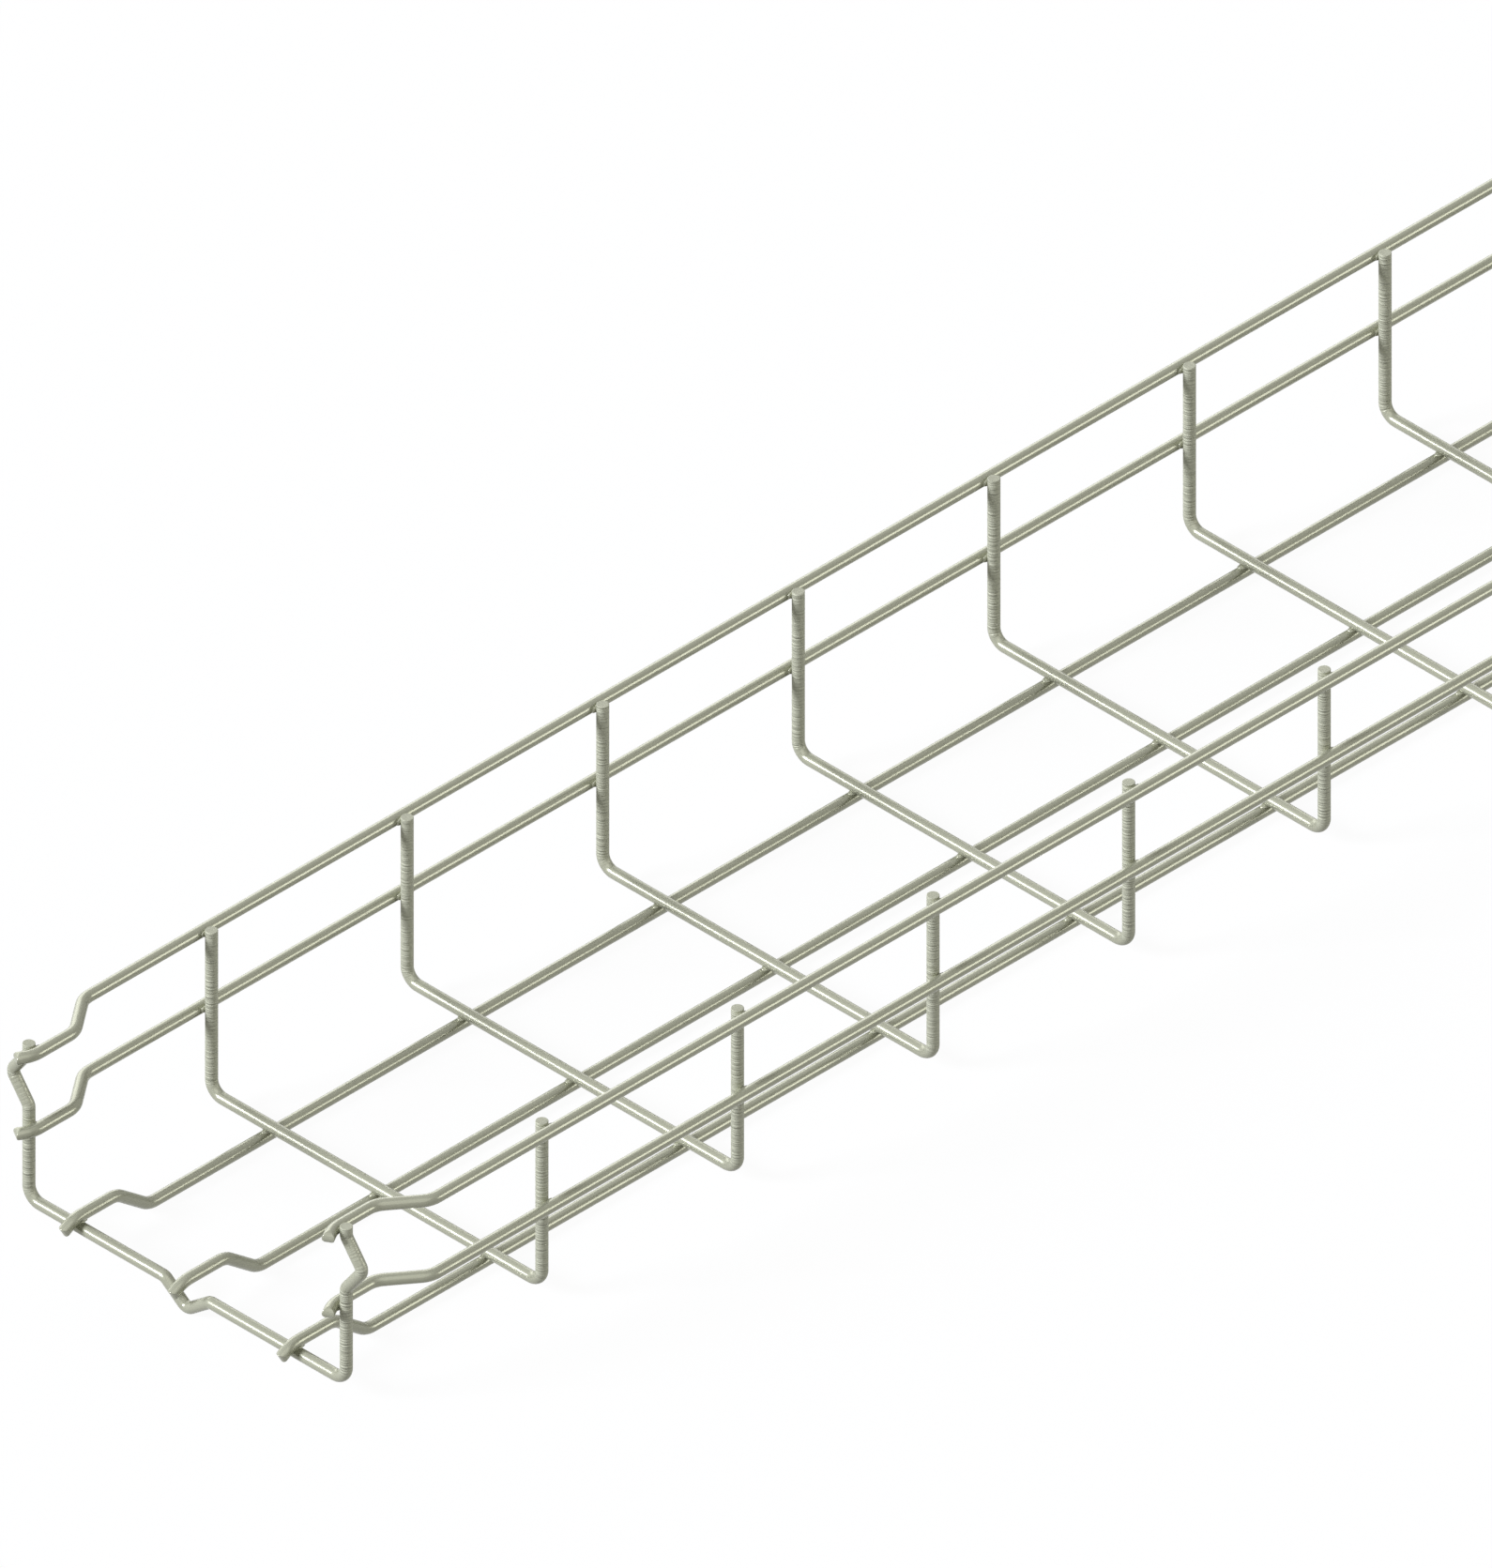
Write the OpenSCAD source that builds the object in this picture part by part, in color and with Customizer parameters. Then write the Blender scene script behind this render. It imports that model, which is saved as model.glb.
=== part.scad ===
// Wire mesh cable tray with a coupling end.
// A U-shaped trough of round wire. Straight line wires run along the outside of U-bent cross wires
// and are resistance-welded to them where they cross. At one end the line wires step inwards and
// hook over an inset coupling wire, so that this end slides into the plain end of the next tray,
// where the three kinks of the coupling wire hold it.
//
// Origin: middle of the tray's length and width, on its underside. +X across, +Y along towards
// the plain end, +Z up. Millimetres.

/* [Wire] */
// Diameter of every wire
wire_d = 4.8; // [4:0.1:6]
// How far a weld sets one wire into the wire that it crosses
weld_set = 0.3; // [0.1:0.05:0.4]

/* [Tray] */
// Overall length, from the tips of the hooks to the plain ends of the line wires
tray_l = 3016.2; // [600:0.1:4000]
// Clear width between the upright legs of the cross wires
inside_w = 164.1; // [140:0.1:320]
// Overall height, from the underside to the tips of the legs
tray_h = 78.7; // [74:0.1:130]
// Distance from one plain cross wire to the next
cross_pitch = 100; // [75:1:150]
// Least length of the line wires past the last cross wire, at the plain end
least_overhang = 6; // [5:1:30]
// Radius of the bends between floor and sides, at the middle of the wire
corner_r = 5.9; // [4:0.1:10]

/* [Line wires] */
// Distance between neighbouring floor line wires
floor_spacing = 55.6; // [35:0.1:60]
// Height of the lower side line wires above the underside, at the middle of the wire
lower_side_h = 42.9; // [36:0.1:48]

/* [Coupling end] */
// Distance from the coupling wire to the first plain cross wire
coupling_pitch = 96.7; // [92:0.1:120]
// How far the coupling wire lies inside the plain cross wires, at the floor and at both sides
coupling_inset = 3.3; // [2:0.1:5]
// Distance from the first plain cross wire to where the line wires start to step inwards
step_start = 57.9; // [40:0.1:60]
// Radius of the bends of the inward step
step_r = 10; // [4:0.1:12]
// Distance before the middle of the coupling wire at which the hooks start to bend
hook_lead = 1; // [0:0.1:2]
// Radius of the bend of each hook
hook_r = 13; // [10:0.1:14]
// How far each hook bends outwards
hook_angle = 30; // [24:1:32]
// How far each hook reaches past the middle of the coupling wire
hook_reach = 9.5; // [9:0.1:12]
// Radius of the bends of the snap kinks
kink_r = 3.5; // [3:0.1:4]
// Distance from the tips of the legs down to the start of the side kinks
kink_drop = 3.2; // [2.6:0.1:8]

/* [Hidden] */
$fn = 32;
// Cold bending swells a wire by this much across the bend
bend_swell = 0.05;
// Each straight reaches this far into the bend that it joins
bend_seat = 0.1;

// Distance between the middles of two wires that are welded where they cross
layer = wire_d - weld_set;
// Cross wires: the floor of each lies on the floor line wires
leg_x = inside_w / 2 + wire_d / 2;
cross_z = wire_d / 2 + layer;
coupling_leg_x = leg_x - coupling_inset;
coupling_z = cross_z + coupling_inset;

// Sloped stretches follow the 3-4-5 triangle: 3 sideways for every 4 forwards, 5 along the wire
slope = atan(3 / 4);
// Length of the straight between two opposite bends of radius r that together move a wire aside
function slope_run(aside, r) = (aside - 2 * r * (1 - cos(slope))) / sin(slope);
// The step takes a line wire from outside the cross wires to inside the coupling wire
step_run = slope_run(coupling_inset + 2 * layer, step_r);
step_length = 2 * step_r * sin(slope) + step_run * cos(slope);
// Each kink reaches out from the coupling wire as far as the line wires
kink_run = slope_run(coupling_inset + layer, kink_r);
kink_half = 2 * kink_r * sin(slope) + kink_run * cos(slope);
// Straight length at the tip of each hook
hook_tip = (hook_reach + hook_lead - (hook_r + wire_d / 2) * sin(hook_angle)) / cos(hook_angle);

// Places along the tray, whose middle is at 0
plain_end_y = tray_l / 2;
coupling_y = hook_reach - tray_l / 2;
first_cross_y = coupling_y + coupling_pitch;
// As many plain cross wires as the length holds
cross_count = floor((plain_end_y - least_overhang - first_cross_y) / cross_pitch) + 1;

// A wire is a list of steps, each [straight length, angle of the bend after it, radius of the bend]
line_wire_steps = [
    [plain_end_y - first_cross_y + step_start, slope, step_r],
    [step_run, -slope, step_r],
    [coupling_pitch - step_start - step_length - hook_lead, -hook_angle, hook_r],
    [hook_tip, 0, 0]
];
cross_wire_steps = [
    [tray_h - cross_z - corner_r, 90, corner_r],
    [2 * (leg_x - corner_r), 90, corner_r],
    [tray_h - cross_z - corner_r, 0, 0]
];
// A straight and the kink after it, which points away from the inside of the tray
function kink_steps(straight) = [
    [straight, -slope, kink_r], [kink_run, 2 * slope, kink_r], [kink_run, -slope, kink_r]
];
coupling_side_run = tray_h - kink_drop - 2 * kink_half - coupling_z - corner_r;
coupling_floor_run = coupling_leg_x - corner_r - kink_half;
coupling_wire_steps = concat(
    kink_steps(kink_drop), [[coupling_side_run, 90, corner_r]],
    kink_steps(coupling_floor_run), [[coupling_floor_run, 90, corner_r]],
    kink_steps(coupling_side_run), [[kink_drop, 0, 0]]
);

// Line wires: [distance across, height, turn that points the inward step at the inside]
LINE_PLACES = [
    [-leg_x - layer, tray_h - wire_d / 2, 0], [-leg_x - layer, lower_side_h, 0],
    [-floor_spacing, wire_d / 2, -90], [0, wire_d / 2, -90], [floor_spacing, wire_d / 2, -90],
    [leg_x + layer, lower_side_h, 180], [leg_x + layer, tray_h - wire_d / 2, 180]
];

LINE_NODES = [
    "line_wire_left_upper", "line_wire_left_lower",
    "line_wire_floor_left", "line_wire_floor_middle", "line_wire_floor_right",
    "line_wire_right_lower", "line_wire_right_upper"
];
CROSS_NODES = [for (i = [1 : cross_count]) str("cross_wire_", i < 10 ? "0" : "", i)];

// A wire that starts at the origin, runs up +Z and bends towards +X, or towards -X where an
// angle is negative. Each straight ends a little inside the bends before and after it.
module bent_wire(steps, i = 0) {
    run = steps[i][0];
    angle = steps[i][1];
    r = steps[i][2] * sign(angle);
    seat_before = i > 0 ? bend_seat : 0;
    seat_after = angle != 0 ? bend_seat : 0;
    translate([0, 0, -seat_before]) cylinder(h = seat_before + run + seat_after, d = wire_d);
    if (angle != 0) translate([r, 0, run]) {
        rotate([90, 0, angle > 0 ? 180 : 0]) elbow(abs(r), abs(angle));
        rotate([0, angle, 0]) translate([-r, 0, 0]) bent_wire(steps, i + 1);
    }
}

// A bend that starts on +X and turns about +Z
module elbow(r, angle) {
    rotate_extrude(angle = angle) translate([r, 0]) circle(d = wire_d + bend_swell);
}

// A line wire: straight from the plain end to the inward step, then to its hook
module line_wire(place) {
    color([0.66, 0.66, 0.58])
        translate([place[0], plain_end_y, place[1]])
            rotate([0, place[2], 0]) rotate([90, 0, 0]) bent_wire(line_wire_steps);
}

// A cross wire: from the tip of its left leg down, across the floor and up again
module cross_wire(y) {
    color([0.72, 0.72, 0.65])
        translate([-leg_x, y, tray_h]) rotate([180, 0, 0]) bent_wire(cross_wire_steps);
}

// The inset cross wire at the coupling end, with a snap kink in each side and in the floor
module coupling_cross_wire() {
    color([0.78, 0.78, 0.70])
        translate([-coupling_leg_x, coupling_y, tray_h])
            rotate([180, 0, 0]) bent_wire(coupling_wire_steps);
}

for (i = [0 : len(LINE_NODES) - 1])
    line_wire(LINE_PLACES[i]);
coupling_cross_wire();
for (i = [0 : cross_count - 1])
    cross_wire(first_cross_y + i * cross_pitch);
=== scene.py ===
"""Looks for a wire mesh cable tray with a coupling end.

Every wire is a round tube carried along its own bent centre line, and each place where two wires
are welded together gets the small bead that the weld squeezes out. Metres, in the frame of the
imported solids: X across, Y along towards the plain end, Z up.
"""

import logging
import math
from dataclasses import dataclass
from enum import Enum
from typing import Any, Sequence

import bpy
import numpy as np
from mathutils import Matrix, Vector


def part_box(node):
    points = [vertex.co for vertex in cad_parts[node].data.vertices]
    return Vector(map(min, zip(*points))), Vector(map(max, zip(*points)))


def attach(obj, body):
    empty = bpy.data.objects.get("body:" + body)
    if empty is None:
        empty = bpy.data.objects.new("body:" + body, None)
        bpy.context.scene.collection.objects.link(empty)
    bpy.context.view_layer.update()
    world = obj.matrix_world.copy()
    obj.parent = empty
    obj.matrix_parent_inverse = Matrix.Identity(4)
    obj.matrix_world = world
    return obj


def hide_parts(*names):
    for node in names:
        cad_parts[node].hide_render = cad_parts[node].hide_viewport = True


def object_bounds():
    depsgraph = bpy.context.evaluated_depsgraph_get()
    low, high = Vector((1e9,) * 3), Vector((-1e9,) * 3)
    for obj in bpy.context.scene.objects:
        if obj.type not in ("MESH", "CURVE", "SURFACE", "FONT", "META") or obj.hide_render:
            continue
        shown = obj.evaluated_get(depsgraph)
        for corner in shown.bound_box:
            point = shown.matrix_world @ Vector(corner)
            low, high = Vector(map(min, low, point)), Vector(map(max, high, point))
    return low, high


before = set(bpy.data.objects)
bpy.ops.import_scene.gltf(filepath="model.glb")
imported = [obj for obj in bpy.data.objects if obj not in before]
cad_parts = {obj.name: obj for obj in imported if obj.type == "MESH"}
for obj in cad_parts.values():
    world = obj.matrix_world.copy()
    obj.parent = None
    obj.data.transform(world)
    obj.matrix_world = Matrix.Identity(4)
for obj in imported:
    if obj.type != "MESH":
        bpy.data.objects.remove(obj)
CAD_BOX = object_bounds()

LOG = logging.getLogger("tray")
BODY = "root"
MM = 0.001
# Sloped stretches follow the 3-4-5 triangle
SLOPE = math.degrees(math.atan(3 / 4))


class Slot(Enum):
    """The record's material slots."""

    LINE = "line_wire"
    CROSS = "cross_wire"


class Mark(Enum):
    """What is stored at each point of a wire for its finish to read."""

    RUN = "wire_run"
    # Painted shade round each weld, which also makes the zinc rougher there
    WELD_SHADE = "weld_heat"
    LEG = "leg_share"


# --------------------------------------------------------------------------------------------
# Shader building
# --------------------------------------------------------------------------------------------


class Num:
    """A number on a node's socket. Operators on it add Math nodes."""

    def __init__(self, graph: "Graph", socket: bpy.types.NodeSocket) -> None:
        """Wraps one output socket of a graph."""
        self.graph = graph
        self.socket = socket

    def _math(self, operation: str, a: Any, b: Any, clamp: bool = False) -> "Num":
        """Adds one Math node.

        Args:
            operation: the node's operation.
            a: first value, a Num or a number.
            b: second value, a Num or a number.
            clamp: True keeps the result between 0 and 1.

        Returns:
            The node's result.
        """
        made = self.graph.node(
            "ShaderNodeMath", {"operation": operation, "use_clamp": clamp}, {0: a, 1: b}
        )
        return Num(self.graph, made.outputs[0])

    def __add__(self, other: Any) -> "Num":
        """This plus other."""
        return self._math("ADD", self, other)

    def __radd__(self, other: Any) -> "Num":
        """Other plus this."""
        return self._math("ADD", other, self)

    def __sub__(self, other: Any) -> "Num":
        """This minus other."""
        return self._math("SUBTRACT", self, other)

    def __rsub__(self, other: Any) -> "Num":
        """Other minus this."""
        return self._math("SUBTRACT", other, self)

    def __mul__(self, other: Any) -> "Num":
        """This times other."""
        return self._math("MULTIPLY", self, other)

    def __rmul__(self, other: Any) -> "Num":
        """Other times this."""
        return self._math("MULTIPLY", other, self)

    def unit(self) -> "Num":
        """This, kept between 0 and 1."""
        return self._math("ADD", self, 0.0, clamp=True)


class Graph:
    """The node tree of one material or world."""

    def __init__(self, tree: bpy.types.NodeTree) -> None:
        """Empties the tree and starts on it."""
        self.tree = tree
        tree.nodes.clear()

    def node(self, kind: str, settings: dict[str, Any] | None = None,
             inputs: dict[Any, Any] | None = None) -> bpy.types.Node:
        """Adds a node.

        Args:
            kind: the node's type.
            settings: the node's own properties, set first. "stops" holds a ramp's
                (position, colour) pairs.
            inputs: for each socket's name or index, a value, a socket or a Num.

        Returns:
            The node.
        """
        made = self.tree.nodes.new(kind)
        for key, value in (settings or {}).items():
            if key == "stops":
                ramp = made.color_ramp.elements
                while len(ramp) < len(value):
                    ramp.new(1.0)
                for stop, (position, colour) in zip(ramp, value):
                    stop.position, stop.color = position, (*colour, 1.0)
            else:
                setattr(made, key, value)
        for key, value in (inputs or {}).items():
            socket = made.inputs[key]
            if isinstance(value, Num):
                value = value.socket
            if isinstance(value, bpy.types.NodeSocket):
                self.tree.links.new(value, socket)
            else:
                socket.default_value = value
        return made

    def number(self, kind: str, settings: dict[str, Any], inputs: dict[Any, Any],
               output: Any = 0) -> Num:
        """Adds a node and returns one of its outputs as a number."""
        return Num(self, self.node(kind, settings, inputs).outputs[output])

    def mark(self, mark: Mark, output: str) -> Num:
        """What is stored under a mark at each point of the surface."""
        return self.number("ShaderNodeAttribute", {"attribute_name": mark.value}, {}, output)

    def blend(self, share: Any, first: Any, second: Any) -> bpy.types.NodeSocket:
        """Adds a Mix node between two colours and returns its result."""
        made = self.node("ShaderNodeMix", {"data_type": "RGBA"}, {0: share, 6: first, 7: second})
        return made.outputs[2]


# --------------------------------------------------------------------------------------------
# Finishes
# --------------------------------------------------------------------------------------------


@dataclass(frozen=True)
class ZincWire:
    """Thin zinc coat on drawn steel wire: satin, faintly streaked along the wire, rougher and
    finely ribbed across where it stands upright; painted sheen makes the uprights and rib crests
    paler, and painted shade darkens it round each weld, where it is also rougher."""

    tone: tuple[float, float, float] = (0.423, 0.43, 0.318)
    # Dark tone of the painted shade round each weld
    weld_shade_tone: tuple[float, float, float] = (0.32, 0.327, 0.25)
    # Pale tone, used for random tone changes and for the painted sheen on ribs and uprights
    pale_tone_and_sheen: tuple[float, float, float] = (0.52, 0.528, 0.41)
    metallic: float = 0.30
    roughness: float = 0.24
    leg_roughness: float = 0.40
    weld_roughness: float = 0.05
    streak_roughness: float = 0.05
    # Share of the pale tone everywhere, and what the patterns and the legs add to it: clouds and
    # streaks vary the tone at random, ribs and legs add painted sheen
    pale_share: float = 0.14
    pale_clouds: float = 0.4
    pale_streaks: float = 0.25
    painted_rib_sheen: float = 0.8
    painted_leg_sheen: float = 0.7
    # Share of the dark tone that paints shade round each weld
    weld_shade_share: float = 0.35
    # Grains along and across the wire
    streak_grain: tuple[float, float] = (40 * MM, 0.8 * MM)
    cloud_grain: tuple[float, float] = (28 * MM, 5 * MM)
    wide_rib: tuple[float, float] = (1.3 * MM, 12 * MM)
    fine_rib: tuple[float, float] = (0.7 * MM, 12 * MM)
    wide_share: float = 0.4
    # Height of the ribs for a full swing of their noise
    rib_depth: float = 0.95 * MM

    def material(self, name: str) -> bpy.types.Material:
        """Builds the finish.

        Args:
            name: the material's name.

        Returns:
            The material. Patterns read the place that each point had in the straight wire
            before it was bent, so they follow every bend.
        """
        made = bpy.data.materials.new(name)
        made.use_nodes = True
        graph = Graph(made.node_tree)
        run = graph.mark(Mark.RUN, "Vector").socket
        weld_shade = graph.mark(Mark.WELD_SHADE, "Fac")
        leg = graph.mark(Mark.LEG, "Fac")

        def noise(grain: tuple[float, float], detail: float) -> Num:
            """Noise round 0, from -0.5 to 0.5, whose grains are as long and wide as given."""
            along, across = grain
            scale = (1 / along, 1 / across, 1 / across)
            place = graph.node("ShaderNodeMapping", {}, {"Vector": run, "Scale": scale})
            inputs = {"Vector": place.outputs[0], "Scale": 1.0, "Detail": detail}
            return graph.number("ShaderNodeTexNoise", {"noise_dimensions": "3D"}, inputs) - 0.5

        ribs = (noise(self.wide_rib, 0.0) * self.wide_share
                + noise(self.fine_rib, 0.0) * (1 - self.wide_share)) * leg
        streaks = noise(self.streak_grain, 1.0)
        clouds = noise(self.cloud_grain, 2.0)

        # Paler with random clouds and streaks, and with painted sheen on the rib crests and the
        # uprights
        pale_tone_and_sheen = (self.pale_share + clouds * self.pale_clouds + streaks * self.pale_streaks
                + ribs * self.painted_rib_sheen + leg * self.painted_leg_sheen)
        colour = graph.blend(pale_tone_and_sheen.unit(), (*self.tone, 1), (*self.pale_tone_and_sheen, 1))
        # Painted shade: darker round each weld
        colour = graph.blend((weld_shade * self.weld_shade_share).unit(), colour, (*self.weld_shade_tone, 1))
        roughness = (self.roughness + streaks * self.streak_roughness
                     + weld_shade * self.weld_roughness + leg * self.leg_roughness).unit()
        bump = graph.node("ShaderNodeBump", {}, {
            "Height": ribs * self.rib_depth, "Distance": 1.0, "Strength": 1.0})
        shader = graph.node("ShaderNodeBsdfPrincipled", {}, {
            "Base Color": colour, "Roughness": roughness, "Metallic": self.metallic,
            "Normal": bump.outputs[0]})
        graph.node("ShaderNodeOutputMaterial", {}, {"Surface": shader.outputs[0]})
        return made


# --------------------------------------------------------------------------------------------
# Shapes
# --------------------------------------------------------------------------------------------


@dataclass(frozen=True)
class Step:
    """A straight of a wire and the bend after it. Angle in degrees, at the middle radius."""

    straight: float
    angle: float = 0.0
    radius: float = 0.0


@dataclass(frozen=True)
class CentreLine:
    """The middle of a wire that is bent in one plane: where it starts, the way it starts off,
    the way that a bend of positive angle turns it, and its steps."""

    start: tuple[float, float, float]
    ahead: tuple[float, float, float]
    aside: tuple[float, float, float]
    steps: tuple[Step, ...]

    def _stretches(self) -> tuple[np.ndarray, np.ndarray]:
        """Lengths and curvatures of the straights and bends, in turn."""
        turns = np.radians([s.angle for s in self.steps])
        radii = np.array([s.radius for s in self.steps])
        lengths = np.stack([[s.straight for s in self.steps], np.abs(turns) * radii], 1).ravel()
        curves = np.stack([turns * 0, np.sign(turns) / np.where(radii > 0, radii, 1)], 1).ravel()
        return lengths, curves

    def length(self) -> float:
        """Length of the straight wire that this is bent from."""
        return float(self._stretches()[0].sum())

    def stations(self, arc_step: float) -> np.ndarray:
        """Lengths along the wire that cut each bend into parts of about arc_step degrees."""
        lengths, curves = self._stretches()
        ends = np.concatenate([[0.0], np.cumsum(lengths)])
        parts = np.maximum(1, np.ceil(np.degrees(lengths * np.abs(curves)) / arc_step)).astype(int)
        return np.unique(np.round(np.concatenate(
            [np.linspace(ends[i], ends[i + 1], n + 1) for i, n in enumerate(parts)]), 9))

    def follow(self, at: np.ndarray) -> tuple[np.ndarray, np.ndarray, np.ndarray]:
        """Places the centre line.

        In a stretch of curvature k that starts with heading h, the point after a length u lies
        at a chord of u * sin(k u / 2) / (k u / 2) in the direction h + k u / 2, and the heading
        there is h + k u. A straight has k = 0.

        Args:
            at: lengths along the wire.

        Returns:
            The points, the unit directions along the wire and the unit directions aside.
        """
        lengths, curves = self._stretches()
        turns = lengths * curves
        heads = np.concatenate([[0.0], np.cumsum(turns)[:-1]])
        chord = lengths * np.sinc(turns / (2 * np.pi))
        way = heads + turns / 2
        moves = chord[:, None] * np.stack([np.cos(way), np.sin(way)], 1)
        corners = np.concatenate([np.zeros((1, 2)), np.cumsum(moves, 0)])
        ends = np.concatenate([[0.0], np.cumsum(lengths)])
        which = np.clip(np.searchsorted(ends, at, side="right") - 1, 0, len(lengths) - 1)
        u, k = at - ends[which], curves[which]
        reach = u * np.sinc(k * u / (2 * np.pi))
        way = heads[which] + k * u / 2
        flat = corners[which] + reach[:, None] * np.stack([np.cos(way), np.sin(way)], 1)
        head = heads[which] + k * u
        ahead, aside = np.array(self.ahead), np.array(self.aside)
        points = np.array(self.start) + flat[:, :1] * ahead + flat[:, 1:] * aside
        along = np.cos(head)[:, None] * ahead + np.sin(head)[:, None] * aside
        inside = -np.sin(head)[:, None] * ahead + np.cos(head)[:, None] * aside
        return points, along, inside


def make_piece(name: str, points: np.ndarray, faces: list[tuple[int, ...]], smooth: np.ndarray,
               marks: dict[Mark, np.ndarray], material: bpy.types.Material,
               stands_for: Sequence[str] = ()) -> bpy.types.Object:
    """Puts a finished surface into the scene.

    Args:
        name: the piece's name.
        points: its points.
        faces: its faces, as point numbers.
        smooth: True for each face that is shaded smooth.
        marks: what its finish reads at each point.
        material: its finish.
        stands_for: the solids that it replaces.

    Returns:
        The piece.
    """
    mesh = bpy.data.meshes.new(name)
    mesh.from_pydata(points, [], faces)
    mesh.polygons.foreach_set("use_smooth", smooth)
    for mark, values in marks.items():
        kind, field = (("FLOAT_VECTOR", "vector") if values.ndim == 2 else ("FLOAT", "value"))
        layer = mesh.attributes.new(mark.value, kind, "POINT")
        layer.data.foreach_set(field, values.astype(np.float32).ravel())
    mesh.materials.append(material)
    mesh.update()
    made = bpy.data.objects.new(name, mesh)
    bpy.context.scene.collection.objects.link(made)
    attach(made, BODY)
    if stands_for:
        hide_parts(*stands_for)
    LOG.info("%s: %d faces", name, len(faces))
    return made


@dataclass(frozen=True)
class Stock:
    """The round wire that everything is bent from, and how two of its wires are welded."""

    radius: float = 2.4 * MM
    swell: float = 0.025 * MM
    weld_set: float = 0.3 * MM
    sides: int = 28
    arc_step: float = 7.5
    # Radius of the worn edge round a cut end
    edge: float = 0.22 * MM
    # Reach of the painted shade round a weld, and where the tube is cut finer to show it
    weld_shade: float = 2.6 * MM
    near: tuple[float, ...] = (-6.0, -4.5, -3.6, -2.8, -1.8, -0.8, 0.8, 1.8, 2.8, 3.6, 4.5, 6.0)
    # Rings of the face of a cut end, as shares of the radius, and degrees of its rounded edge
    face: tuple[float, ...] = (0.3, 0.6, 0.85)
    edge_turn: tuple[float, ...] = (0, 30, 60, 90)
    # Stations kept away from both ends, and the least distance between two
    clear: tuple[float, float] = (1.0 * MM, 2.5 * MM)
    apart: float = 0.05 * MM
    # Points at which a centre line is searched for its welds
    search: int = 4096
    # How fast the legs' finish, with its painted sheen, fades where a wire leaves the upright
    leg_power: int = 6

    @property
    def layer(self) -> float:
        """Distance between the middles of two welded wires."""
        return 2 * self.radius - self.weld_set

    @property
    def reach(self) -> float:
        """Distance from the middle of a wire to the outside of its bends."""
        return self.radius + self.swell

    def wire(self, name: str, line: CentreLine, welds: np.ndarray, offset: float,
             material: bpy.types.Material, slot: Slot, pinch: float = 0.0) -> bpy.types.Object:
        """Makes one wire.

        A ring of points stands square to the centre line at each station: the point at angle a
        lies radius * (cos a * inside + sin a * across) from the middle. At both cut ends the
        rings shrink over a small rounded edge onto a face that closes in one point. The face is
        flat, or at the last end, where cutters pinched the wire off, an elliptic dome: its
        points stand back by pinch * (1 - sqrt(1 - (r sin a)^2)), r being ring over radius.

        Args:
            name: the solid that it replaces.
            line: its centre line.
            welds: the points at which it is welded.
            offset: place of its start in the straight stock, so that no two wires look alike.
            material: its finish.
            slot: the record's slot; not used.
            pinch: how far the sides of the last end stand back.

        Returns:
            The wire.
        """
        length = line.length()
        middle, _, _ = line.follow(np.linspace(0, length, self.search))
        nearest = np.argmin(np.linalg.norm(middle[None] - welds[:, None], axis=2), axis=1)
        weld_at = nearest * length / (self.search - 1)
        fine = (weld_at[:, None] + np.array(self.near) * MM).ravel()
        fine = fine[(fine > self.clear[0]) & (fine < length - self.clear[1])]
        inner = np.unique(np.concatenate([line.stations(self.arc_step)[1:-1], fine]))
        inner = inner[np.concatenate([[True], np.diff(inner) > self.apart])]
        # The rounded edge at a cut end, from the face outwards
        turn = np.radians(self.edge_turn)
        edge_radius = self.radius - self.edge * (1 - np.sin(turn))
        edge_at = self.edge * (1 - np.cos(turn))
        face = np.array(self.face)
        at = np.concatenate([face * 0, edge_at, inner, length - edge_at[::-1], face * 0 + length])
        ring = np.concatenate([face * self.radius, edge_radius, inner * 0 + self.radius,
                               edge_radius[::-1], face[::-1] * self.radius])
        points, along, inside = line.follow(at)
        across = np.cross(along, inside)
        angle = np.arange(self.sides) * 2 * np.pi / self.sides
        cos, sin = np.cos(angle), np.sin(angle)
        capped = (np.arange(len(at)) >= len(at) - len(face) - len(turn))[:, None]
        back = pinch * capped * (1 - np.sqrt(1 - (ring[:, None] / self.radius * sin) ** 2))
        tube = points[:, None] - back[..., None] * along[:, None] + ring[:, None, None] * (
            cos[None, :, None] * inside[:, None] + sin[None, :, None] * across[:, None])
        run = np.stack(np.broadcast_arrays(
            (at + offset)[:, None] - back, ring[:, None] * cos, ring[:, None] * sin), 2)
        ends, _, _ = line.follow(np.array([0.0, length]))
        verts = np.concatenate([tube.reshape(-1, 3), ends])
        runs = np.concatenate([run.reshape(-1, 3), [[offset, 0, 0], [offset + length, 0, 0]]])
        legs = np.concatenate([np.repeat(along[:, 2], self.sides), along[[0, -1], 2]])

        rows, cols = len(at), self.sides
        grid = np.arange(rows * cols).reshape(rows, cols)
        after = np.roll(grid, -1, 1)
        quads = np.stack([grid[:-1], after[:-1], after[1:], grid[1:]], 2).reshape(-1, 4)
        start = np.stack([grid[0] * 0 + rows * cols, after[0], grid[0]], 1)
        stop = np.stack([grid[-1] * 0 + rows * cols + 1, grid[-1], after[-1]], 1)
        faces = quads.tolist() + start.tolist() + stop.tolist()
        smooth = np.ones((rows - 1, cols), bool)
        smooth[:len(face)] = False
        smooth[-len(face):] = pinch > 0
        smooth = np.concatenate([smooth.ravel(), np.zeros(cols, bool), np.full(cols, pinch > 0)])
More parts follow.
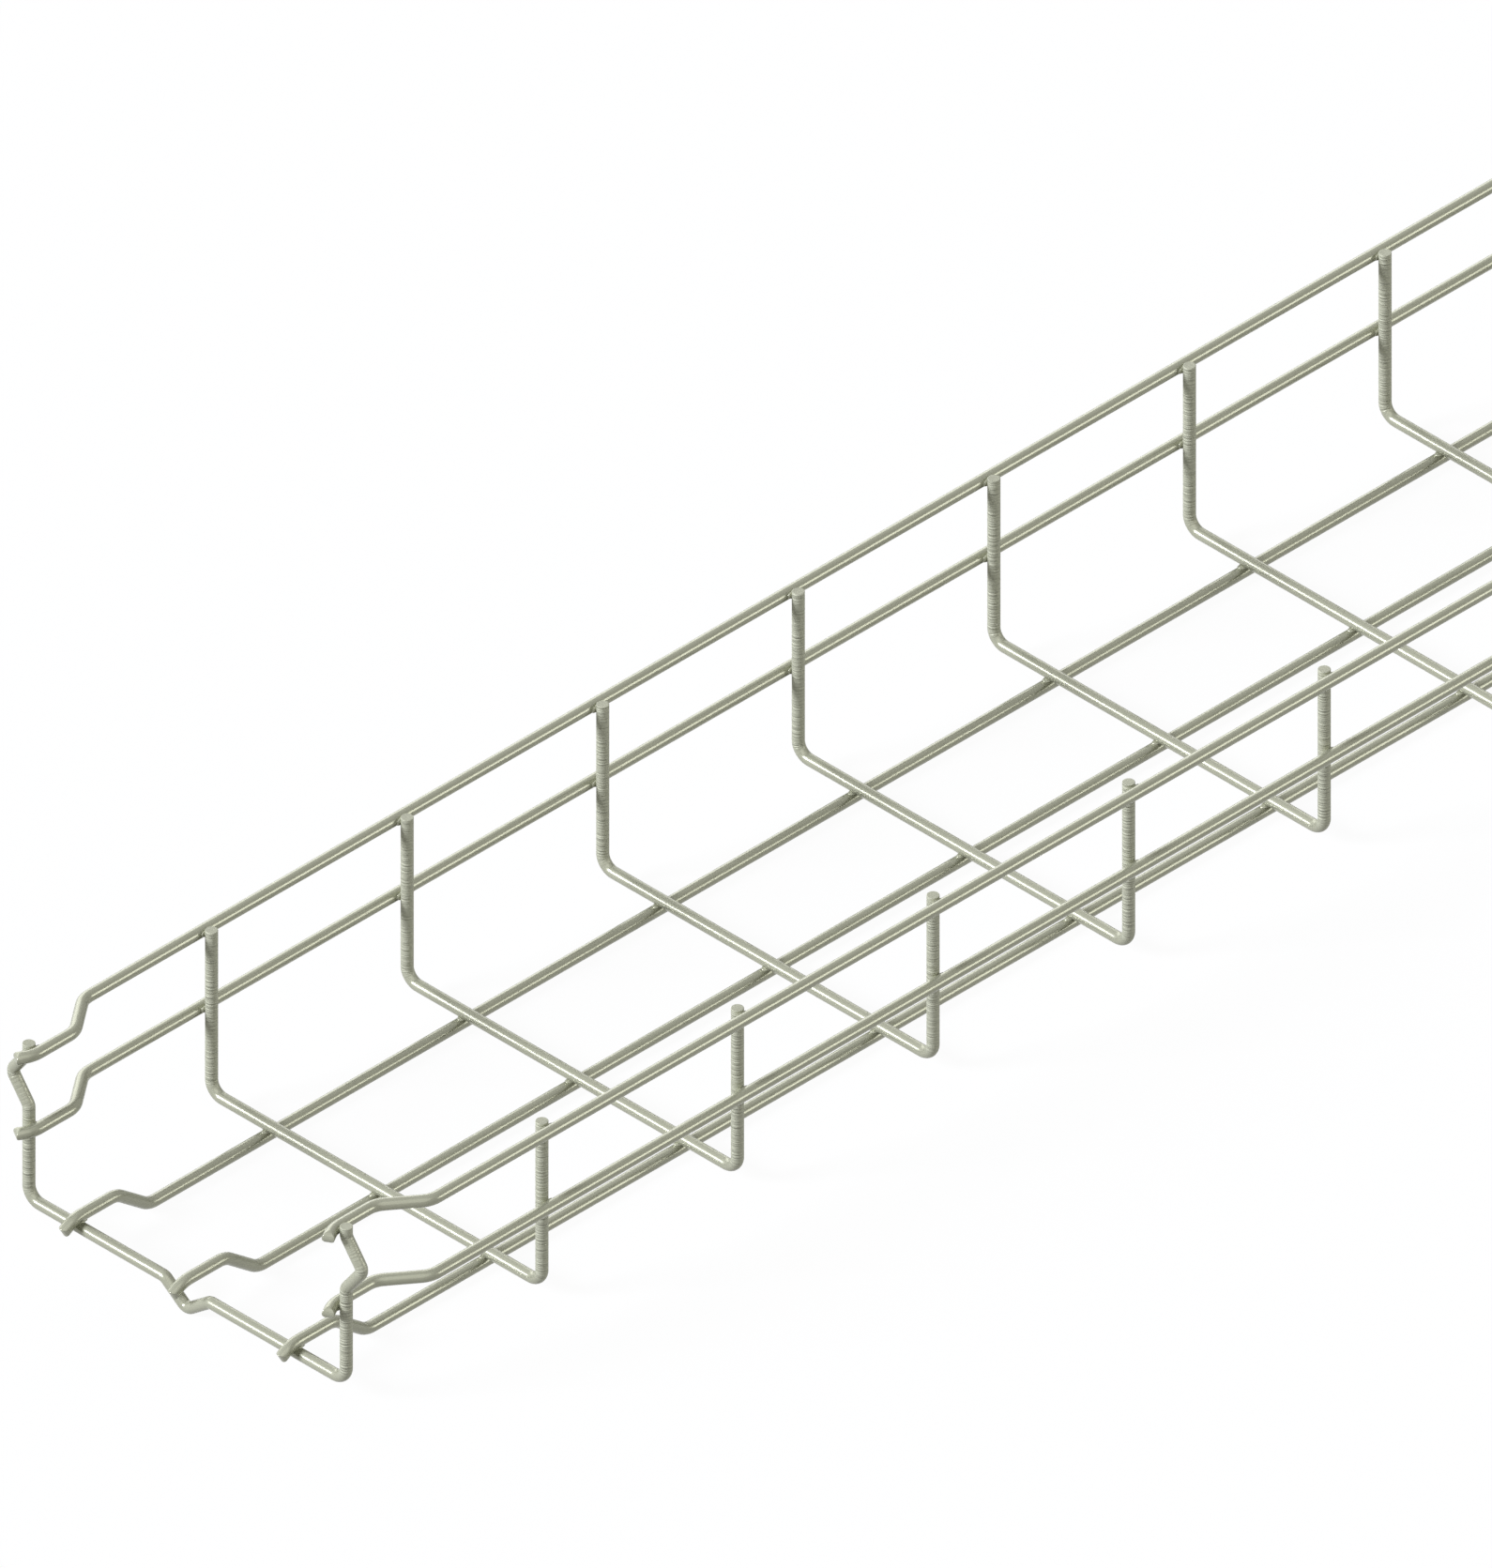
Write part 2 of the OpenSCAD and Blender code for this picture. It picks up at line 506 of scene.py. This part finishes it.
        # Painted shade round the welds: 1 at a weld, fading over its reach
        gap = np.min(np.linalg.norm(verts[:, None] - welds[None], axis=2), axis=1)
        weld_shade = np.exp(-(gap / self.weld_shade) ** 2)
        marks = {Mark.RUN: runs, Mark.WELD_SHADE: weld_shade,
                 Mark.LEG: np.abs(legs) ** self.leg_power}
        return make_piece(name + "_zinc", verts, faces, smooth, marks, material, [name])


# --------------------------------------------------------------------------------------------
# Sub-assemblies
# --------------------------------------------------------------------------------------------


def sloped_run(aside: float, radius: float) -> float:
    """Straight between two opposite bends of that radius which together move a wire aside."""
    turn = math.radians(SLOPE)
    return (aside - 2 * radius * (1 - math.cos(turn))) / math.sin(turn)


def sloped_length(aside: float, radius: float) -> float:
    """Length forwards that such a pair of bends takes."""
    turn = math.radians(SLOPE)
    return 2 * radius * math.sin(turn) + sloped_run(aside, radius) * math.cos(turn)


@dataclass
class LineWires:
    """The straight wires along the outside, which step inwards and hook over the coupling wire."""

    stock: Stock
    inset: float = 3.3 * MM
    # The step inwards starts this far in front of the first plain cross wire
    step_start: float = 57.9 * MM
    step_radius: float = 10.0 * MM
    # The hooks bend from here before the coupling wire's middle, and reach past it
    hook_lead: float = 1.0 * MM
    hook_radius: float = 13.0 * MM
    hook_angle: float = 30.0
    hook_reach: float = 9.5 * MM
    # How far the sides of the pinched-off tips stand back
    pinch: float = 2.35 * MM

    def inward(self, node: str) -> tuple[float, float, float]:
        """The way from a line wire to the inside of the tray."""
        lo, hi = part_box(node)
        on_floor = hi.z < CAD_BOX[1].z / 4
        if on_floor:
            return (0.0, 0.0, 1.0)
        return (-1.0, 0.0, 0.0) if lo.x > 0 else (1.0, 0.0, 0.0)

    def centre(self, node: str) -> tuple[float, float]:
        """X and Z of the long straight of a line wire."""
        lo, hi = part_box(node)
        way = self.inward(node)
        x = (lo.x + hi.x) / 2
        z = (lo.z + hi.z) / 2
        if way[2]:
            z = lo.z + self.stock.reach
        else:
            x = hi.x - self.stock.reach if way[0] < 0 else lo.x + self.stock.reach
        return x, z

    def centre_line(self, node: str, first_y: float, coupling_y: float) -> CentreLine:
        """Centre line from the plain end to the tip of the hook.

        Args:
            node: the wire's solid.
            first_y: Y of the first plain cross wire.
            coupling_y: Y of the coupling wire.

        Returns:
            The centre line.
        """
        x, z = self.centre(node)
        plain_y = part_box(node)[1].y
        aside = self.inset + 2 * self.stock.layer
        end = first_y - self.step_start - sloped_length(aside, self.step_radius)
        turn = math.radians(self.hook_angle)
        bent = (self.hook_radius + self.stock.radius) * math.sin(turn)
        tip = (self.hook_reach + self.hook_lead - bent) / math.cos(turn)
        steps = (Step(plain_y - first_y + self.step_start, SLOPE, self.step_radius),
                 Step(sloped_run(aside, self.step_radius), -SLOPE, self.step_radius),
                 Step(end - coupling_y - self.hook_lead, -self.hook_angle, self.hook_radius),
                 Step(tip))
        return CentreLine((x, plain_y, z), (0.0, -1.0, 0.0), self.inward(node), steps)


@dataclass
class CrossWires:
    """The U-bent wires across the tray, and the inset coupling wire with its snap kinks."""

    stock: Stock
    corner_radius: float = 5.9 * MM
    kink_radius: float = 3.5 * MM
    kink_drop: float = 3.2 * MM
    inset: float = 3.3 * MM

    def centre_line(self, node: str, kinked: bool) -> CentreLine:
        """Centre line from the tip of the left leg, across the floor, to that of the right leg.

        Args:
            node: the wire's solid.
            kinked: True for the coupling wire.

        Returns:
            The centre line.
        """
        lo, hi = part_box(node)
        y, top, corner = (lo.y + hi.y) / 2, hi.z, self.corner_radius
        shift = self.inset + self.stock.layer if kinked else 0.0
        leg = hi.x - self.stock.reach - shift
        floor = lo.z + self.stock.reach + shift
        down, half = top - floor - corner, leg - corner
        if not kinked:
            steps = (Step(down, 90, corner), Step(2 * half, 90, corner), Step(down))
        else:
            reach = sloped_length(shift, self.kink_radius)
            side, base = down - self.kink_drop - 2 * reach, half - reach
            steps = (*self.kink(self.kink_drop, shift), Step(side, 90, corner),
                     *self.kink(base, shift), Step(base, 90, corner),
                     *self.kink(side, shift), Step(self.kink_drop))
        return CentreLine((-leg, y, top), (0.0, 0.0, -1.0), (1.0, 0.0, 0.0), steps)

    def kink(self, straight: float, out: float) -> tuple[Step, Step, Step]:
        """A straight, and the kink after it, which points out of the tray."""
        run = sloped_run(out, self.kink_radius)
        return (Step(straight, -SLOPE, self.kink_radius), Step(run, 2 * SLOPE, self.kink_radius),
                Step(run, -SLOPE, self.kink_radius))


@dataclass
class WeldBeads:
    """The beads squeezed out where two wires are welded."""

    half_along: float = 3.7 * MM
    half_across: float = 1.7 * MM
    half_thick: float = 0.75 * MM
    columns: int = 10
    rows: int = 5
    seed: int = 7
    # Largest change of a bead's size, as a share, and lean, in radians
    size_change: float = 0.12
    most_lean: float = 0.2

    def piece(self, name: str, at: np.ndarray, out: np.ndarray,
              material: bpy.types.Material) -> bpy.types.Object:
        """Makes all the beads of one side of the tray as one piece.

        A bead is a flattened ball: the point at turn a and tilt t lies at
        (along * cos a cos t, across * sin a cos t, thick * sin t) from the weld, each bead a
        little different in size and lean.

        Args:
            name: the piece's name.
            at: the welds' places.
            out: unit direction from the outer wire to the inner one.
            material: the finish.

        Returns:
            The beads.
        """
        rng = np.random.default_rng(self.seed)
        count = len(at)
        size = np.array([self.half_along, self.half_across, self.half_thick])
        size = size * rng.uniform(1 - self.size_change, 1 + self.size_change, (count, 3))
        lean = rng.uniform(-self.most_lean, self.most_lean, count)
        turn = np.arange(self.columns) * 2 * np.pi / self.columns
        tilt = (np.arange(self.rows) + 1) / (self.rows + 1) * np.pi - np.pi / 2
        ball = np.stack(np.broadcast_arrays(
            np.cos(turn) * np.cos(tilt)[:, None], np.sin(turn) * np.cos(tilt)[:, None],
            np.sin(tilt)[:, None]), 2).reshape(-1, 3)
        ball = np.concatenate([ball, [[0, 0, -1], [0, 0, 1]]])
        local = ball[None] * size[:, None]
        cos, sin = np.cos(lean)[:, None], np.sin(lean)[:, None]
        u = local[..., 0] * cos - local[..., 1] * sin
        v = local[..., 0] * sin + local[..., 1] * cos
        along = np.array([0.0, 1.0, 0.0])
        across = np.cross(out, along)
        points = (at[:, None] + u[..., None] * along + v[..., None] * across
                  + local[..., 2:] * out)
        grid = np.arange(self.rows * self.columns).reshape(self.rows, self.columns)
        after = np.roll(grid, -1, 1)
        quads = np.stack([grid[:-1], grid[1:], after[1:], after[:-1]], 2).reshape(-1, 4)
        first = np.stack([grid[0], after[0], grid[0] * 0 + grid.size], 1)
        last = np.stack([after[-1], grid[-1], grid[-1] * 0 + grid.size + 1], 1)
        step = np.arange(count)[:, None, None] * len(ball)
        faces = ((quads[None] + step).reshape(-1, 4).tolist()
                 + (first[None] + step).reshape(-1, 3).tolist()
                 + (last[None] + step).reshape(-1, 3).tolist())
        verts = points.reshape(-1, 3)
        marks = {Mark.RUN: verts, Mark.WELD_SHADE: np.zeros(len(verts)),
                 Mark.LEG: np.zeros(len(verts))}
        return make_piece(name, verts, faces, np.ones(len(faces), bool), marks, material)


@dataclass
class Tray:
    """The whole tray: it finds where the wires cross and builds every piece."""

    stock: Stock
    lines: LineWires
    crosses: CrossWires
    beads: WeldBeads
    # Length of a line wire's bent end, and the steps in which wires are searched
    bent_end: float = 0.2
    line_search: int = 4001
    cross_search: int = 8001
    # Wires further apart than this many layers don't touch
    touch: float = 1.05

    def welds(self, line: CentreLine, cross: CentreLine) -> np.ndarray:
        """The place where two wires are welded.

        Args:
            line: a line wire.
            cross: a cross wire.

        Returns:
            The point halfway between their middles where they cross, as one row, or no row
            where they pass each other without touching.
        """
        y = cross.start[1]
        at = np.linspace(line.length() - self.bent_end, line.length(), self.line_search)
        way = line.follow(at)[0]
        on_line = np.array([line.start[0], y, line.start[2]])
        if y < way[0, 1]:
            on_line = way[np.argmin(np.abs(way[:, 1] - y))]
        path = cross.follow(np.linspace(0, cross.length(), self.cross_search))[0]
        gaps = np.linalg.norm(path - on_line, axis=1)
        nearest = int(np.argmin(gaps))
        if gaps[nearest] > self.stock.layer * self.touch:
            return np.zeros((0, 3))
        return ((path[nearest] + on_line) / 2)[None]

    def build(self, line_finish: bpy.types.Material, cross_finish: bpy.types.Material) -> None:
        """Builds every wire and every bead.

        Args:
            line_finish: the line wires' finish.
            cross_finish: the cross wires' finish.
        """
        nodes = sorted(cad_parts)
        line_nodes = [n for n in nodes if n.startswith("line_wire")]
        cross_nodes = [n for n in nodes if n.startswith("cross_wire")]
        coupling = next(n for n in nodes if n.startswith("coupling"))
        ways = {n: self.crosses.centre_line(n, n == coupling) for n in [coupling, *cross_nodes]}
        coupling_y = ways[coupling].start[1]
        first_y = min(ways[n].start[1] for n in cross_nodes)
        for n in line_nodes:
            ways[n] = self.lines.centre_line(n, first_y, coupling_y)
        found = {(a, b): self.welds(ways[a], ways[b])
                 for a in line_nodes for b in [coupling, *cross_nodes]}
        offset = 0.0
        for n in line_nodes:
            welds = np.concatenate([v for (a, _), v in found.items() if a == n])
            self.stock.wire(n, ways[n], welds, offset, line_finish, Slot.LINE,
                            self.lines.pinch)
            offset += ways[n].length()
        for n in [coupling, *cross_nodes]:
            welds = np.concatenate([v for (_, b), v in found.items() if b == n])
            self.stock.wire(n, ways[n], welds, offset, cross_finish, Slot.CROSS)
            offset += ways[n].length()
        for name, way in (("floor", (0, 0, 1)), ("left", (1, 0, 0)), ("right", (-1, 0, 0))):
            at = np.concatenate([v for (a, _), v in found.items()
                                 if self.lines.inward(a) == way])
            self.beads.piece(f"weld_beads_{name}", at, np.array(way, float), line_finish)


# --------------------------------------------------------------------------------------------
# Studio
# --------------------------------------------------------------------------------------------


@dataclass(frozen=True)
class Lamp:
    """A soft far light: the way towards it, its strength, width in degrees and tint."""

    name: str
    towards: tuple[float, float, float]
    strength: float
    width: float
    tint: tuple[float, float, float] = (1.0, 1.0, 1.0)


@dataclass
class Studio:
    """Plain pale floor, white surroundings, soft lights and the camera."""

    lamps: tuple[Lamp, ...] = (
        Lamp("key_light", (-0.40, -0.78, 0.46), 3.4, 20, (0.98, 1.0, 1.1)),
        Lamp("rim_light", (0.79, 0.58, 0.20), 0.55, 24, (1.0, 1.0, 0.96)),
        Lamp("side_light", (-0.86, 0.40, 0.12), 1.4, 60),
        Lamp("fill_light", (0.60, -0.40, 0.69), 0.5, 60),
    )
    ambient: float = 0.0
    # Share of the floor's white that the lamps light, so that shadows show, and how much of
    # that share the lamps give back
    floor_shade: float = 0.06
    floor_lit: float = 0.75
    floor_half: float = 30.0
    floor_gap: float = 0.3 * MM
    view_height: float = 0.5669
    # Where the camera aims, past the first plain cross wire and above the ground
    aim_y: float = 188.8 * MM
    aim_z: float = 91.1 * MM
    camera_distance: float = 4.0

    def seen(self, graph: Graph) -> Num:
        """1 for the rays by which the surroundings are seen, straight or in a gloss or glass."""
        path = graph.node("ShaderNodeLightPath")
        camera, glossy, through = (Num(graph, path.outputs[k]) for k in (
            "Is Camera Ray", "Is Glossy Ray", "Is Transmission Ray"))
        return (camera + glossy + through).unit()

    def world(self) -> None:
        """White where it is seen, a low even light for the rest."""
        world = bpy.data.worlds.new("surroundings")
        bpy.context.scene.world = world
        world.use_nodes = True
        graph = Graph(world.node_tree)
        strength = self.ambient + self.seen(graph) * (1.0 - self.ambient)
        back = graph.node("ShaderNodeBackground", {}, {"Color": (1, 1, 1, 1),
                                                       "Strength": strength})
        graph.node("ShaderNodeOutputWorld", {}, {"Surface": back.outputs[0]})

    def floor(self) -> None:
        """A plain white floor that keeps a faint shadow."""
        half, z = self.floor_half, CAD_BOX[0].z - self.floor_gap
        corners = [(-half, -half, z), (half, -half, z), (half, half, z), (-half, half, z)]
        mesh = bpy.data.meshes.new("floor")
        mesh.from_pydata(corners, [], [(0, 1, 2, 3)])
        made = bpy.data.materials.new("floor_white")
        made.use_nodes = True
        graph = Graph(made.node_tree)
        shade = self.floor_shade
        matt = graph.node("ShaderNodeBsdfDiffuse", {}, {"Color": (shade, shade, shade, 1)})
        glow = graph.node("ShaderNodeEmission", {}, {
            "Color": (1, 1, 1, 1),
            "Strength": self.seen(graph) * (1.0 - shade * self.floor_lit)})
        both = graph.node("ShaderNodeAddShader", {}, {0: matt.outputs[0], 1: glow.outputs[0]})
        graph.node("ShaderNodeOutputMaterial", {}, {"Surface": both.outputs[0]})
        mesh.materials.append(made)
        floor = bpy.data.objects.new("floor", mesh)
        bpy.context.scene.collection.objects.link(floor)

    def lights(self) -> None:
        """The far soft lights."""
        for lamp in self.lamps:
            data = bpy.data.lights.new(lamp.name, "SUN")
            data.energy, data.angle = lamp.strength, math.radians(lamp.width)
            data.color = lamp.tint
            made = bpy.data.objects.new(lamp.name, data)
            made.rotation_mode = "QUATERNION"
            made.rotation_quaternion = Vector(lamp.towards).to_track_quat("Z", "Y")
            bpy.context.scene.collection.objects.link(made)

    def camera(self, first_y: float) -> None:
        """Looks down at the coupling end with the three axes 120 degrees apart.

        Args:
            first_y: Y of the first plain cross wire.
        """
        towards = Vector((1.0, -1.0, 1.0)).normalized()
        aim = Vector((0.0, first_y + self.aim_y, self.aim_z))
        data = bpy.data.cameras.new("camera")
        data.type, data.ortho_scale = "ORTHO", self.view_height
        data.clip_start, data.clip_end = 0.01, 100.0
        made = bpy.data.objects.new("camera", data)
        made.location = aim + towards * self.camera_distance
        made.rotation_mode = "QUATERNION"
        made.rotation_quaternion = towards.to_track_quat("Z", "Y")
        bpy.context.scene.collection.objects.link(made)
        bpy.context.scene.camera = made

    def build(self, first_y: float) -> None:
        """Builds everything round the tray."""
        bpy.context.scene.view_settings.view_transform = "Standard"
        self.world()
        self.floor()
        self.lights()
        self.camera(first_y)


def main() -> None:
    """Builds the tray and its studio."""
    logging.basicConfig(level=logging.INFO, format="%(message)s")
    stock = Stock()
    finish = ZincWire()
    tray = Tray(stock, LineWires(stock), CrossWires(stock), WeldBeads())
    tray.build(finish.material("zinc_line_wire"), finish.material("zinc_cross_wire"))
    lo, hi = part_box("cross_wire_01")
    Studio().build((lo.y + hi.y) / 2)


if __name__ == "__main__":
    main()
